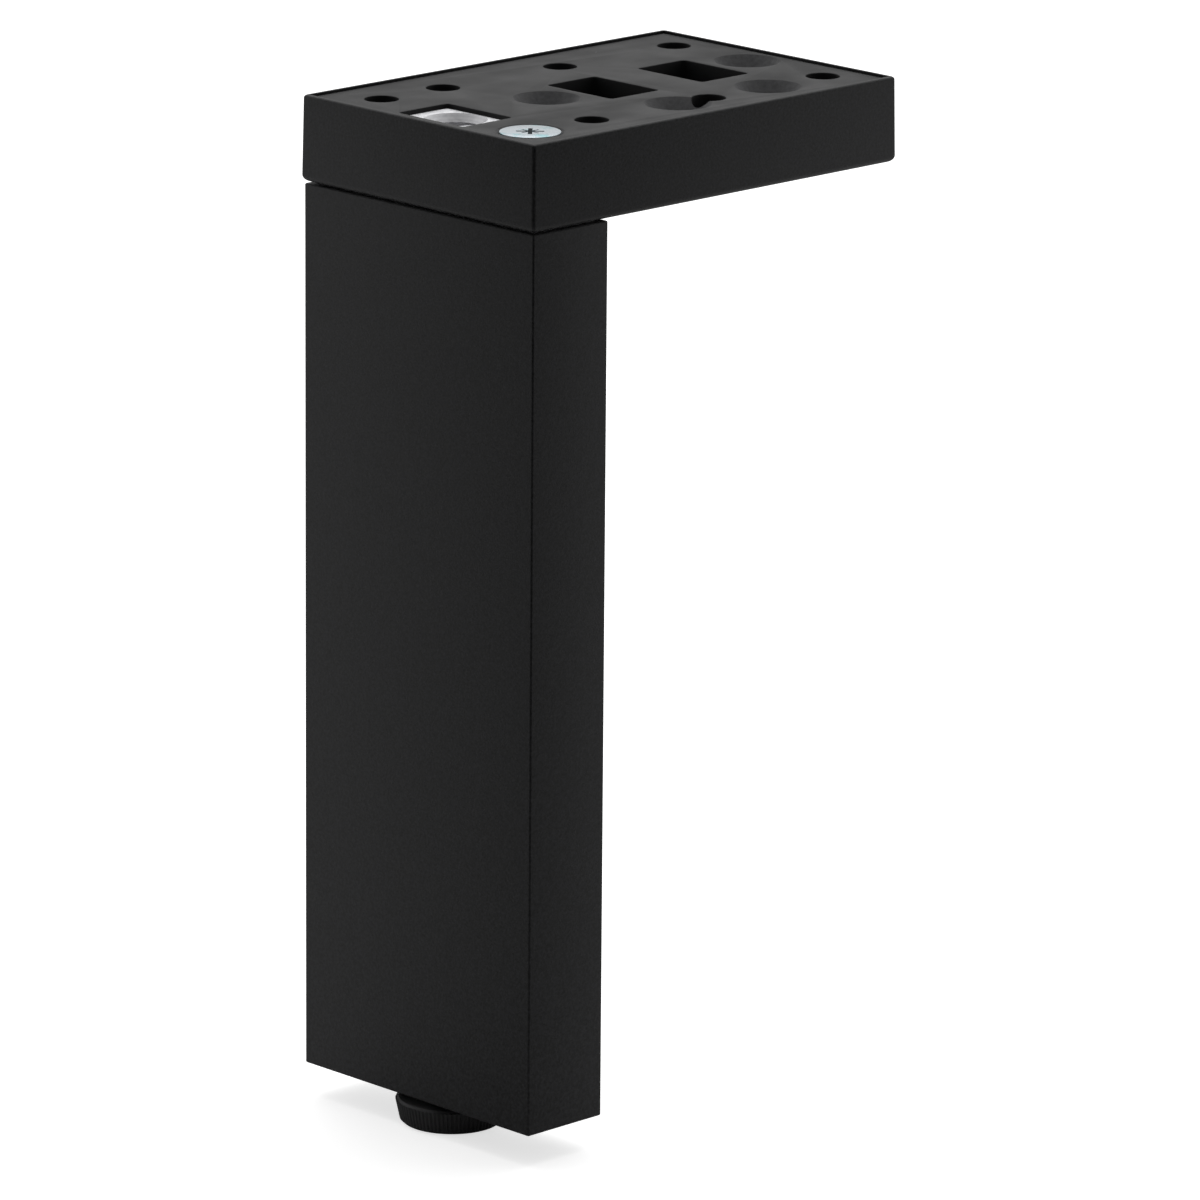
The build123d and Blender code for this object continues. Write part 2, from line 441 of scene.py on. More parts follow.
# Powder coat looks dull black and slightly rough, because each grain of the melted powder scatters light.
# Its real grain is about 0.1 mm, and is drawn coarser so that it shows in the render.
@dataclass(frozen=True)
class PowderCoat:
    """Matt polyester powder coat, sprayed and baked on aluminium."""

    name: str = "powder_coated_aluminium"
    dark: str = "#020202"
    light: str = "#28282a"
    grain_mm: float = 0.62
    grain_span: Span = (0.34, 0.66)
    grain_depth_mm: float = 0.05
    peel_mm: float = 2.2
    bump: float = 0.5
    roughness: Span = (0.5, 0.62)
    specular: float = 0.27

    def make(self) -> Material:
        """Builds the node material.

        Returns:
            The material.
        """
        material, add, where = new_material(self.name)
        grain = add(
            "ShaderNodeTexNoise",
            {"Vector": where, "Scale": per_size(self.grain_mm), "Detail": 3.0, "Roughness": 0.55},
        )
        peel = add("ShaderNodeTexNoise", {"Vector": where, "Scale": per_size(self.peel_mm), "Detail": 1.0})
        height = add("ShaderNodeMath", (grain, peel), operation="ADD")
        spread = add("ShaderNodeMapRange", (grain, *self.grain_span, 0.0, 1.0))
        tint = add("ShaderNodeMix", {"Factor": spread, "A": self.dark, "B": self.light}, data_type="RGBA")
        gloss = add("ShaderNodeMapRange", (grain, *NOISE_SPAN, *self.roughness))
        looks = {"Base Color": tint, "Roughness": gloss, "Specular IOR Level": self.specular}
        end_material(add, looks, height, self.bump, self.grain_depth_mm)
        return material


# Moulded plastic looks like a satin black skin with faint clouds, and the deck has pale specks of dust.
# The deck's slopes of 45 degrees, its screw seats, are painted paler in a mottle: painted light for the
# light they catch.
# The real skin is about 0.05 mm, and is drawn coarser so that it shows.
@dataclass(frozen=True)
class Moulding:
    """Injection-moulded black plastic."""

    name: str
    dark: str = "#121213"
    light: str = "#1c1c1d"
    cloud_mm: float = 9.0
    skin_mm: float = 0.35
    skin_depth_mm: float = 0.008
    bump: float = 0.4
    painted_seat_light: str = "#464648"
    painted_light_mottle_mm: float = 0.9
    painted_light_share: float = 1.0
    painted_light_slope: float = 45.0
    painted_light_span: Span = (0.05, 0.15)
    speck: str = "#9c9ea0"
    speck_cell_mm: float = 1.9
    speck_radius: float = 0.045
    speck_share: float = 0.14
    roughness: Span = (0.56, 0.66)
    specular: float = 0.24

    def make(self) -> Material:
        """Builds the node material.

        Returns:
            The material.
        """
        material, add, where = new_material(self.name)
        skin, cloud, light_mottle = [
            add("ShaderNodeTexNoise", {"Vector": where, "Scale": per_size(size), "Detail": detail})
            for size, detail in ((self.skin_mm, 2.0), (self.cloud_mm, 3.0), (self.painted_light_mottle_mm, 3.0))
        ]
        cells = add("ShaderNodeTexVoronoi", {"Vector": where, "Scale": per_size(self.speck_cell_mm)})
        tint = add("ShaderNodeMix", {"Factor": cloud, "A": self.dark, "B": self.light}, data_type="RGBA")
        # Painted light: faces that slope at about 45 degrees, the screw seats, are painted paler, mottled
        # by noise.
        normal = add("ShaderNodeTexCoord").outputs["Normal"]
        tilt = add("ShaderNodeVectorMath", (normal, (0.0, 0.0, 1.0)), operation="DOT_PRODUCT")
        painted_light_tilt = math.cos(math.radians(self.painted_light_slope))
        off_slope = add("ShaderNodeMath", (tilt, painted_light_tilt), operation="SUBTRACT")
        far_off = add("ShaderNodeMath", (off_slope,), operation="ABSOLUTE")
        slope = add("ShaderNodeMapRange", (far_off, *self.painted_light_span, self.painted_light_share, 0.0))
        painted_light_mask = add("ShaderNodeMath", (slope, light_mottle), operation="MULTIPLY")
        tint_and_painted_light = add("ShaderNodeMix", {"Factor": painted_light_mask, "A": tint, "B": self.painted_seat_light}, data_type="RGBA")
        near = add("ShaderNodeMath", (cells, self.speck_radius), operation="LESS_THAN")
        chosen = add("ShaderNodeMath", (cells.outputs["Color"], self.speck_share), operation="LESS_THAN")
        specks = add("ShaderNodeMath", (near, chosen), operation="MULTIPLY")
        colour = add("ShaderNodeMix", {"Factor": specks, "A": tint_and_painted_light, "B": self.speck}, data_type="RGBA")
        gloss = add("ShaderNodeMapRange", (cloud, *NOISE_SPAN, *self.roughness))
        looks = {"Base Color": colour, "Roughness": gloss, "Specular IOR Level": self.specular}
        end_material(add, looks, skin, self.bump, self.skin_depth_mm)
        return material


# Die-cast zinc looks like a light grey metal with a dull shine, and turning left fine rings on it.
# The real rings are about 0.2 mm apart, and are drawn coarser so that they show.
@dataclass(frozen=True)
class TurnedCasting:
    """Die-cast zinc with a turned bore."""

    name: str = "die_cast_zinc"
    dark: str = "#bcbcbf"
    light: str = "#e0e0e2"
    axis_mm: Place = (-48.5, 0.0)
    ring_mm: float = 0.55
    ring_share: float = 0.12
    ring_depth_mm: float = 0.002
    pore_mm: float = 0.8
    bump: float = 0.5
    roughness: Span = (0.44, 0.56)

    def make(self) -> Material:
        """Builds the node material.

        Returns:
            The material.
        """
        material, add, where = new_material(self.name)
        axis = (-self.axis_mm[0] * MM, -self.axis_mm[1] * MM, 0.0)
        centred = add("ShaderNodeMapping", {"Vector": where, "Location": axis})
        flat = add("ShaderNodeVectorMath", (centred, (1.0, 1.0, 0.0)), operation="MULTIPLY")
        radius = add("ShaderNodeVectorMath", (flat,), operation="LENGTH")
        phase = add("ShaderNodeMath", (radius, per_size(self.ring_mm) * 2 * math.pi), operation="MULTIPLY")
        rings = add("ShaderNodeMath", (phase,), operation="SINE")
        pores = add("ShaderNodeTexNoise", {"Vector": where, "Scale": per_size(self.pore_mm), "Detail": 4.0})
        shade = add("ShaderNodeMath", (rings, self.ring_share, pores), operation="MULTIPLY_ADD")
        colour = add("ShaderNodeMix", {"Factor": shade, "A": self.dark, "B": self.light}, data_type="RGBA")
        gloss = add("ShaderNodeMapRange", (pores, *NOISE_SPAN, *self.roughness))
        looks = {"Base Color": colour, "Roughness": gloss, "Metallic": 1.0}
        end_material(add, looks, shade, self.bump, self.ring_depth_mm)
        return material


# Bright zinc plating looks like a bluish white metal with a soft shine and faint teal clouds.
# The real grain of the plating is about 0.05 mm, and is drawn coarser so that it shows.
@dataclass(frozen=True)
class ZincPlate:
    """Bright zinc, plated on steel and passivated."""

    name: str = "zinc_plated_steel"
    white: str = "#a9b1b6"
    teal: str = "#86a9ae"
    teal_span: Span = (0.52, 0.7)
    cloud_mm: float = 3.0
    grain_mm: float = 0.3
    grain_depth_mm: float = 0.006
    bump: float = 0.3
    roughness: Span = (0.28, 0.4)

    def make(self) -> Material:
        """Builds the node material.

        Returns:
            The material.
        """
        material, add, where = new_material(self.name)
        cloud, grain = [
            add("ShaderNodeTexNoise", {"Vector": where, "Scale": per_size(size), "Detail": 2.0})
            for size in (self.cloud_mm, self.grain_mm)
        ]
        teal = add("ShaderNodeMapRange", (cloud, *self.teal_span, 0.0, 1.0))
        colour = add("ShaderNodeMix", {"Factor": teal, "A": self.white, "B": self.teal}, data_type="RGBA")
        gloss = add("ShaderNodeMapRange", (grain, *NOISE_SPAN, *self.roughness))
        looks = {"Base Color": colour, "Roughness": gloss, "Metallic": 1.0}
        end_material(add, looks, grain, self.bump, self.grain_depth_mm)
        return material


@dataclass
class Finishes:
    """The materials that the pieces share."""

    powder_coat: Material
    deck: Material
    plug: Material
    foot: Material
    casting: Material
    zinc: Material

    @classmethod
    def make(cls) -> "Finishes":
        """Builds every material once.

        Returns:
            The materials.
        """
        return cls(
            powder_coat=PowderCoat().make(),
            deck=Moulding("moulded_nylon_deck").make(),
            plug=Moulding("moulded_nylon_plug", painted_light_share=0.0, speck_share=0.0).make(),
            # The foot's colours are lifted well above its real black: painted light for the white floor
            # that its ribbed side reflects.
            foot=Moulding(
                "moulded_polypropylene_foot",
                dark="#262626",
                light="#3a3a3b",
                painted_light_share=0.0,
                specular=0.4,
                speck_share=0.0,
            ).make(),
            casting=TurnedCasting().make(),
            zinc=ZincPlate().make(),
        )


# Pieces


@dataclass
class FixingPlate:
    """Cover tray and the moulded plate in it. Sizes in millimetres."""

    length: float = 100.0
    width: float = 66.0
    height: float = 17.3
    middle_x: float = -9.0
    draft: float = 0.85
    rim: float = 1.0
    floor: float = 2.0
    corner_radius: float = 0.6
    corner_steps: int = 4
    top_radius: float = 0.6
    top_steps: int = 5
    bottom_radius: float = 1.3
    bottom_steps: int = 6
    rim_edge: float = 0.08
    deck_top: float = -0.5
    deck_thickness: float = 5.0
    clearance: float = 0.15
    edge_radius: float = 0.25
    skirt: float = 2.0
    boss_wall: float = 2.2
    rib: float = 1.6
    rib_space_drop: float = 0.5
    hole_radius: float = 3.4
    seat_hole_radius: float = 3.2
    seat_radius: float = 6.7
    seat_edge: float = 0.1
    seat_edge_drop: float = 0.03
    seat_edge_reach: float = 0.08
    socket: Place = (13.2, 18.4)
    socket_radius: float = 0.8
    socket_steps: int = 5
    socket_wall: float = 1.8
    lip: float = 0.2
    floor_socket_lip: float = 0.05
    leg_x: float = -48.5
    row_y: float = 21.0
    hole_xs: tuple[float, ...] = (-32.0, 0.0, 32.0)
    socket_xs: tuple[float, ...] = (-48.5, -8.5, 16.5)
    centre_seat_xs: tuple[float, ...] = (-23.85, 31.85)

    @property
    def floor_top(self) -> float:
        """Height of the tray's floor."""
        return self.floor - self.height

    @property
    def tray_inset(self) -> float:
        """How far the tray's inner walls lie inside its base outline."""
        return self.height * math.tan(math.radians(self.draft)) + self.rim

    @property
    def fixing_holes(self) -> list[Place]:
        """Places of the holes for the furniture's screws."""
        return [(x, side * self.row_y) for x in self.hole_xs for side in (-1, 1)]

    @property
    def plain_holes(self) -> list[Place]:
        """Places of all plain holes in the moulded plate."""
        return [*self.fixing_holes, (self.leg_x, self.row_y)]

    @property
    def seats(self) -> list[Place]:
        """Places of the countersunk seats."""
        return [(x, -self.row_y) for x in self.socket_xs] + [(x, 0.0) for x in self.centre_seat_xs]

    def ring(self, inset: float, height: float) -> Ring:
        """Ring of the plate's outline, drawn in by an inset, at a height."""
        return (self.length / 2 - inset, self.width / 2 - inset, height)

    def round_cutter(self, at: Place, radius: float, low: float, high: float) -> Shape:
        """Plain round cutter."""
        return turned("cutter", at, [(radius, low), (radius, high)])

    def hole_cutter(self, at: Place, low: float) -> Shape:
        """Cutter for a plain hole with a rounded lip at the deck.

        Args:
            at: Place of the hole.
            low: Lower end.

        Returns:
            The cutter, which stands a little above the deck.
        """
        profile = [(self.hole_radius, low)]
        profile += [(self.hole_radius + out, z) for out, z in rounded_lip(self.lip, self.deck_top)]
        profile.append((self.hole_radius + self.lip, self.deck_top + OVERLAP))
        return turned("cutter", at, profile)

    def seat_cutter(self, at: Place, low: float) -> Shape:
        """Cutter for a countersunk seat and the hole under it.

        Args:
            at: Place of the seat.
            low: Lower end.

        Returns:
            The cutter, which stands a little above the deck.
        """
        depth = self.seat_radius - self.seat_hole_radius
        wide = self.seat_radius + self.seat_edge_reach
        profile = [
            (self.seat_hole_radius, low),
            (self.seat_hole_radius, self.deck_top - depth),
            (self.seat_radius - self.seat_edge, self.deck_top - self.seat_edge),
            (self.seat_radius, self.deck_top - self.seat_edge_drop),
            (wide, self.deck_top),
            (wide, self.deck_top + OVERLAP),
        ]
        return turned("cutter", at, profile)

    def socket_cutter(self, at_x: float, low: float, high: float, lip: float) -> Shape:
        """Cutter for a rectangular socket with rounded corners and a small rounded lip at the top.

        Args:
            at_x: Place along the plate.
            low: Lower end.
            high: Height of the surface that the lip opens at.
            lip: Size of the lip.

        Returns:
            The cutter, which stands a little above the surface.
        """
        half_x, half_y = self.socket[0] / 2, self.socket[1] / 2
        rings = [(half_x, half_y, low)]
        rings += [(half_x + out, half_y + out, z) for out, z in rounded_lip(lip, high)]
        rings.append((half_x + lip, half_y + lip, high + OVERLAP))
        cutter = stack("cutter", (at_x, 0.0), rings)
        round_edges(cutter, runs_up, self.socket_radius, self.socket_steps)
        return cutter

    def cover(self) -> Shape:
        """Cover tray: drafted outside with rounded edges, straight inside, holes in its floor.

        Returns:
            The tray.
        """
        lean = math.radians(self.draft)
        side = 180 - self.draft
        bottom, top = self.bottom_radius, self.top_radius
        low = bottom * (1 + math.sin(lean)) / math.cos(lean)
        high = (top + (self.height - top) * math.sin(lean)) / math.cos(lean)
        bottom_arc = quarter(270, side, self.bottom_steps)
        top_arc = quarter(side, 90, self.top_steps)
        rings = [self.ring(low + bottom * c, -self.height + bottom * (1 + s)) for c, s in bottom_arc]
        rings += [self.ring(high + top * c, top * (s - 1)) for c, s in top_arc]
        rings.append(self.ring(self.tray_inset - self.rim_edge, 0.0))
        rings.append(self.ring(self.tray_inset, -self.rim_edge))
        rings.append(self.ring(self.tray_inset, self.floor_top))
        tray = stack("plate_cover_tray", (self.middle_x, 0.0), rings)
        flat = self.length / 2 - high - NEAR

        def outer_corner(a: Vector, b: Vector) -> bool:
            """Tells whether an edge runs up an outer corner.

            Args:
                a: One end of the edge.
                b: Its other end.

            Returns:
                True if it does.
            """
            short = (a.xy - b.xy).length < bottom and (a - b).length > MERGE
            outside = min(abs(p.x - self.middle_x) for p in (a, b)) > flat
            return short and (outside or max(a.z, b.z) < self.floor_top)

        round_edges(tray, outer_corner, self.corner_radius, self.corner_steps)
        low_end, high_end = -self.height - OVERLAP, self.floor_top + OVERLAP
        cutters = [self.round_cutter(at, self.hole_radius, low_end, high_end) for at in self.fixing_holes]
        for y in (-self.row_y, self.row_y):
            cutters.append(self.round_cutter((self.leg_x, y), self.seat_hole_radius, low_end, high_end))
        cutters.append(self.socket_cutter(self.leg_x, low_end, high_end, self.floor_socket_lip))
        combine(tray, cutters)
        return tray

    def moulding(self) -> Shape:
        """Moulded plate: a deck with holes, seats and sockets, on a skirt with bosses and ribs below.

        Returns:
            The plate.
        """
        inset = self.tray_inset + self.clearance
        edge = rounded_lip(self.edge_radius, self.deck_top)
        rings = [self.ring(inset, self.floor_top)]
        rings += [self.ring(inset + out, z) for out, z in edge]
        plate = stack("moulded_plate", (self.middle_x, 0.0), rings)
        combine(plate, [self.rib_space(inset)])
        low = self.floor_top - OVERLAP
        cutters = [self.hole_cutter(at, low) for at in self.plain_holes]
        cutters += [self.seat_cutter(at, low) for at in self.seats]
        cutters += [self.socket_cutter(x, low, self.deck_top, self.lip) for x in self.socket_xs]
        combine(plate, cutters)
        return plate

    def rib_space(self, inset: float) -> Shape:
        """Open space under the deck, between the skirt, the bosses, the socket walls and the ribs.

        Args:
            inset: How far the moulded plate's sides lie inside the cover's base outline.

        Returns:
            The space as a solid shape.
        """
        half_x, half_y, low = self.ring(inset + self.skirt, self.floor_top - self.rib_space_drop)
        ceiling = self.deck_top - self.deck_thickness
        left, right = self.middle_x - half_x, self.middle_x + half_x
        space = block("rib_space", (left, -half_y, low), (right, half_y, ceiling))
        low, high = low - OVERLAP, ceiling + OVERLAP
        boss, seat_boss = self.hole_radius + self.boss_wall, self.seat_hole_radius + self.boss_wall
        kept = [self.round_cutter(at, boss, low, high) for at in self.plain_holes]
        kept += [self.round_cutter(at, seat_boss, low, high) for at in self.seats]
        wall_x = self.socket[0] / 2 + self.socket_wall
        wall_y = self.socket[1] / 2 + self.socket_wall
        for x in self.socket_xs:
            kept.append(block("kept", (x - wall_x, -wall_y, low), (x + wall_x, wall_y, high)))
        half = self.rib / 2
        left, right, reach = left - OVERLAP, right + OVERLAP, half_y + OVERLAP
        for y in (-self.row_y, 0.0, self.row_y):
            kept.append(block("kept", (left, y - half, low), (right, y + half, high)))
        for x in (self.leg_x, *self.hole_xs):
            kept.append(block("kept", (x - half, -reach, low), (x + half, reach, high)))
        combine(space, kept)
        return space

    def build(self, finishes: Finishes) -> None:
        """Models both pieces and puts them in the frame."""
        deliver(self.cover(), "plate_cover", Body.LEG, finishes.powder_coat)
        deliver(self.moulding(), "mounting_plate", Body.LEG, finishes.deck)


@dataclass
class Leg:
    """Tube, metal head and fixing screw. Sizes in millimetres."""

    axis: Place = (-48.5, 0.0)
    tube_depth: float = 20.0
    tube_width: float = 65.0
    tube_top: float = -17.7
    tube_bottom: float = -198.8
    tube_wall: float = 1.8
    tube_corner: float = 0.4
    tube_chamfer: float = 0.2
    plug_clearance: float = 0.1
    head_top: float = -17.3
    head_depth: float = 26.0
    head_wall: float = 3.0
    tower: Place = (12.8, 18.0)
    tower_top: float = -1.4
    tower_corner: float = 0.8
    corner_steps: int = 4
    metal_edge: float = 0.15
    metal_edge_share: float = 0.3
    round_sides: int = 96
    bore_radius: float = 5.1
    bore_chamfer: float = 1.2
    bore_angle: float = 75.0
    row_y: float = 21.0
    screw_bore_radius: float = 3.05
    deck_top: float = -0.5
    screw_radius: float = 3.0
    screw_length: float = 36.0
    screw_head_radius: float = 6.0
    screw_head_land: float = 0.7
    screw_point: float = 0.8
    recess_span: float = 6.4
    recess_width: float = 1.0
    recess_depth: float = 1.8
    recess_taper: float = 0.6
    recess_turn: float = 45.0
    tick_span: float = 4.6
    tick_width: float = 0.4
    tick_depth: float = 0.3
    tick_turn: float = 45.0

    @property
    def plug_half(self) -> Place:
        """Half sizes of what fills the tube."""
        gap = self.tube_wall + self.plug_clearance
        return (self.tube_depth / 2 - gap, self.tube_width / 2 - gap)

    def tube(self) -> Shape:
        """Extruded tube with softened corners and chamfered ends.

        Returns:
            The tube.
        """
        x, y = self.axis
        low, high = self.tube_bottom, self.tube_top
        half_x, half_y = self.tube_depth / 2, self.tube_width / 2
        tube = block("leg_tube_extrusion", (x - half_x, y - half_y, low), (x + half_x, y + half_y, high))
        round_edges(tube, upright, self.tube_corner, self.corner_steps)
        round_edges(tube, lambda a, b: level(a, b, low) or level(a, b, high), self.tube_chamfer, 1)
        in_x, in_y = half_x - self.tube_wall, half_y - self.tube_wall
        low_end, high_end = low - OVERLAP, high + OVERLAP
        combine(tube, [block("cutter", (x - in_x, y - in_y, low_end), (x + in_x, y + in_y, high_end))])
        return tube

    def head(self) -> Shape:
        """Cast head: a plug in the tube with a tower, a chamfered bore and bores for the screws.

        Returns:
            The head.
        """
        x, y = self.axis
        half_x, half_y = self.plug_half
        low, top = self.head_top - self.head_depth, self.head_top
        head = block("cast_head", (x - half_x, y - half_y, low), (x + half_x, y + half_y, top))
        tower_x, tower_y = self.tower[0] / 2, self.tower[1] / 2
        edge = self.metal_edge
        rings = [
            (tower_x, tower_y, top - OVERLAP),
            (tower_x, tower_y, self.tower_top - edge),
            (tower_x - edge, tower_y - edge, self.tower_top),
        ]
        tower = stack("tower", self.axis, rings)
        round_edges(tower, runs_up, self.tower_corner, self.corner_steps)
        combine(head, [tower], Cut.JOIN)
        cone = self.bore_chamfer / math.tan(math.radians(self.bore_angle / 2))
        wide = self.bore_radius + self.bore_chamfer
        low_end = low - OVERLAP
        bore = [
            (self.bore_radius, low_end),
            (self.bore_radius, self.tower_top - cone),
            (wide, self.tower_top),
            (wide, self.tower_top + OVERLAP),
        ]
        screw_bore = [(self.screw_bore_radius, low_end), (self.screw_bore_radius, top + OVERLAP)]
        cutters = [turned("cutter", self.axis, bore, self.round_sides)]
        in_x, roof = half_x - self.head_wall, top - self.head_wall
        pocket = self.row_y - self.screw_radius - self.head_wall
        for side in (-1, 1):
            cutters.append(turned("cutter", (x, y + side * self.row_y), screw_bore))
            front, back = sorted((y + side * tower_y, y + side * pocket))
            cutters.append(block("cutter", (x - in_x, front, low_end), (x + in_x, back, roof)))
        combine(head, cutters)
        return head

    def screw(self) -> Shape:
        """Countersunk screw with a cross recess and four small ticks between its arms.

        Returns:
            The screw.
        """
        x, y = self.axis[0], self.axis[1] - self.row_y
        top, radius = self.deck_top, self.screw_radius
        wide, land = self.screw_head_radius, self.screw_head_land
        edge = self.metal_edge
        edge_round = edge * self.metal_edge_share
        profile = [
            (radius - self.screw_point, top - self.screw_length),
            (radius, top - self.screw_length + self.screw_point),
            (radius, top - land - (wide - radius)),
            (wide, top - land),
            (wide, top - edge),
            (wide - edge_round, top - edge_round),
            (wide - edge, top),
        ]
        screw = turned("countersunk_screw", (x, y), profile, self.round_sides)
        tools = [self.recess((x, y))]
        half, thin = self.tick_span / 2, self.tick_width / 2
        low, high = top - self.tick_depth, top + OVERLAP
        for turn in (self.recess_turn + self.tick_turn, self.recess_turn - self.tick_turn):
            tools.append(block("cutter", (x - half, y - thin, low), (x + half, y + thin, high), turn))
        combine(screw, tools)
        return screw

    def recess(self, place: Place) -> Shape:
        """Cutter for the cross recess, drawn out of a square core and narrower at its foot.

        Args:
            place: Axis of the screw.

        Returns:
            The cutter.
        """
        x, y = place
        half, thin = self.recess_span / 2, self.recess_width / 2
        low, high = self.deck_top - self.recess_depth, self.deck_top + OVERLAP
        cross = block("cutter", (x - thin, y - thin, low), (x + thin, y + thin, high))
        taper = (self.recess_taper, self.recess_taper, 1)
        turn = math.radians(self.recess_turn)
        with edit_mode(cross):
            for along in (Vector((1, 0)), Vector((-1, 0)), Vector((0, 1)), Vector((0, -1))):
                core_side = Vector(place) + along * thin
                pick(cross, Element.FACES, lambda middle, normal: (middle.xy - core_side).length < NEAR)
                reach = along * (half - thin)
                bpy.ops.mesh.extrude_region_move(TRANSFORM_OT_translate={"value": (*reach, 0)})
            pick(cross, Element.POINTS, lambda co: co.z < low + NEAR)
            bpy.ops.transform.resize(value=taper, center_override=(x, y, low))
            bpy.ops.mesh.select_all(action="SELECT")
            bpy.ops.transform.rotate(value=turn, orient_axis="Z", center_override=(x, y, low))
        return cross

    def build(self, finishes: Finishes) -> None:
        """Models the pieces and puts them in the frame.

        Args:
            finishes: The shared materials.
        """
        deliver(self.tube(), "leg_tube", Body.LEG, finishes.powder_coat)
        deliver(self.head(), "leg_head", Body.LEG, finishes.casting)
        deliver(self.screw(), "fixing_screw", Body.LEG, finishes.zinc)


@dataclass
class Foot:
    """End plug, nut, threaded stud and ribbed disc. Sizes in millimetres."""

    axis: Place = (-48.5, 0.0)
    plug_half: Place = (8.1, 30.6)
    plug_bottom: float = -198.5
    plug_height: float = 26.0
    plug_wall: float = 2.0
    plug_edge: float = 0.3
    plug_edge_steps: int = 3
    nut_bottom: float = -189.5
    nut_pocket_flats: float = 13.2
    nut_sides: int = 6
    stud_radius: float = 4.0
    stud_clearance: float = 0.08
    stud_lead: float = 0.3
    stud_top: float = -172.2
    stud_point: float = 1.0
    stud_bottom: float = -204.1
    flange_radius: float = 6.0
    flange_height: float = 1.6
    flange_edge: float = 0.2
    shank_drop: float = 1.0
    thread_drop: float = 1.5
    thread_pitch: float = 1.25
    thread_depth: float = 0.68
    thread_flank: float = 0.4375
    thread_crest: float = 0.125
    thread_steps: int = 48
    spare_turns: int = 2
    point_room: float = 0.5
    disc_top: float = -200.2
    disc_bottom: float = -205.3
    disc_radius: float = 11.4
    disc_base_radius: float = 10.3
    top_chamfer: float = 0.4
    base_round: float = 0.6
    base_steps: int = 6
    rib_count: int = 80
    rib_points: int = 4
    rib_share: float = 0.5
    rib_height: float = 0.25
    rib_ledge: float = 0.1
    rib_end: float = 0.02

    @property
    def flange_top(self) -> float:
        """Height of the top of the stud's flange."""
        return self.stud_bottom + self.flange_height

    def plug(self) -> Shape:
        """Moulded plug in the tube's end, with a pocket for the nut and a bore for the stud.

        Returns:
            The plug.
        """
        x, y = self.axis
        half_x, half_y = self.plug_half
        low, high = self.plug_bottom, self.plug_bottom + self.plug_height
        plug = block("end_plug_moulding", (x - half_x, y - half_y, low), (x + half_x, y + half_y, high))
        round_edges(plug, lambda a, b: level(a, b, low), self.plug_edge, self.plug_edge_steps)
        bore, high_end = self.stud_radius + self.stud_clearance, high + OVERLAP
        mouth = bore + self.stud_lead
        profile = [(mouth, low - OVERLAP), (mouth, low), (bore, low + self.stud_lead), (bore, high_end)]
        corner = self.nut_pocket_flats / 3**0.5
        pocket = [(corner, self.nut_bottom), (corner, high_end)]
        cutters = [turned("cutter", self.axis, profile)]
        cutters.append(turned("cutter", self.axis, pocket, self.nut_sides))
        wall = self.plug_wall
        in_x, floor = half_x - wall, low + wall
        for side in (-1, 1):
            front, back = sorted((y + side * (corner + wall), y + side * (half_y - wall)))
            cutters.append(block("cutter", (x - in_x, front, floor), (x + in_x, back, high_end)))
        combine(plug, cutters)
        return plug

    def stud(self) -> Shape:
        """Stud with a rolled thread above the disc and a flange in it.

        Returns:
            The stud.
        """
        shank = self.stud_radius - self.thread_depth / 2
        profile = [
            (self.flange_radius - self.flange_edge, self.stud_bottom),
            (self.flange_radius, self.stud_bottom + self.flange_edge),
            (self.flange_radius, self.flange_top),
            (shank, self.flange_top),
            (shank, self.disc_top - self.shank_drop),
        ]
        stud = turned("threaded_stud", self.axis, profile)
        combine(stud, [self.thread(self.disc_top - self.thread_drop, self.stud_top)], Cut.JOIN)
        return stud

    def thread(self, low: float, high: float) -> Shape:
        """Threaded rod between two heights, its top end chamfered.

        Args:
            low: Lower end.
            high: Upper end.

        Returns:
            The closed threaded rod.
        """
        x, y = self.axis
        pitch, crest, root = self.thread_pitch, self.stud_radius, self.stud_radius - self.thread_depth
        flank = self.thread_flank * pitch
        outline = ((crest - root, flank), (0, self.thread_crest * pitch), (root - crest, flank))
        bpy.ops.mesh.primitive_plane_add(size=1, location=(0, 0, 0))
        rod = settle(bpy.context.object, "thread")
        with edit_mode(rod):
            bpy.ops.mesh.select_all(action="SELECT")
            bpy.ops.mesh.merge(type="CENTER")
            bpy.ops.transform.translate(value=(root, 0, low - pitch))
            for out, up in outline:
                bpy.ops.mesh.extrude_region_move(TRANSFORM_OT_translate={"value": (out, 0, up)})
        activate(rod)
        helix = rod.modifiers.new("helix", "SCREW")
        helix.axis = "Z"
        helix.steps = self.thread_steps
        helix.render_steps = self.thread_steps
        helix.screw_offset = pitch
        helix.iterations = math.ceil((high - low) / pitch) + self.spare_turns
        helix.use_merge_vertices = True
        helix.merge_threshold = MERGE
        bpy.ops.object.modifier_apply(modifier=helix.name)
        with edit_mode(rod):
            bpy.ops.mesh.select_all(action="SELECT")
            bpy.ops.mesh.remove_doubles(threshold=NEAR)
            for height, direction in ((low, -1), (high, 1)):
                bpy.ops.mesh.select_all(action="SELECT")
                bpy.ops.mesh.bisect(
                    plane_co=(0, 0, height), plane_no=(0, 0, direction), clear_outer=True, use_fill=True
                )
            bpy.ops.mesh.select_all(action="SELECT")
            bpy.ops.transform.translate(value=(x, y, 0))
            bpy.ops.mesh.normals_make_consistent(inside=False)
        room, point = self.point_room, self.stud_point
        form = [
            (crest + room, low - OVERLAP),
            (crest + room, high - point - room),
            (crest - point, high),
            (crest - point, high + OVERLAP),
        ]
        combine(rod, [turned("form", self.axis, form)], Cut.KEEP_COMMON)
        return rod

    def disc(self) -> Shape:
        """Ribbed disc with a rounded foot, a chamfered top and a cavity round the stud's flange.

        Returns:
            The disc.
        """
        x, y = self.axis
        slope = (self.disc_radius - self.disc_base_radius) / (self.disc_top - self.disc_bottom)
        inner, base = self.rib_height + self.rib_ledge, self.base_round

        def side(height: float) -> float:
            """Radius of the rib crests at a height."""
            return self.disc_base_radius + slope * (height - self.disc_bottom)

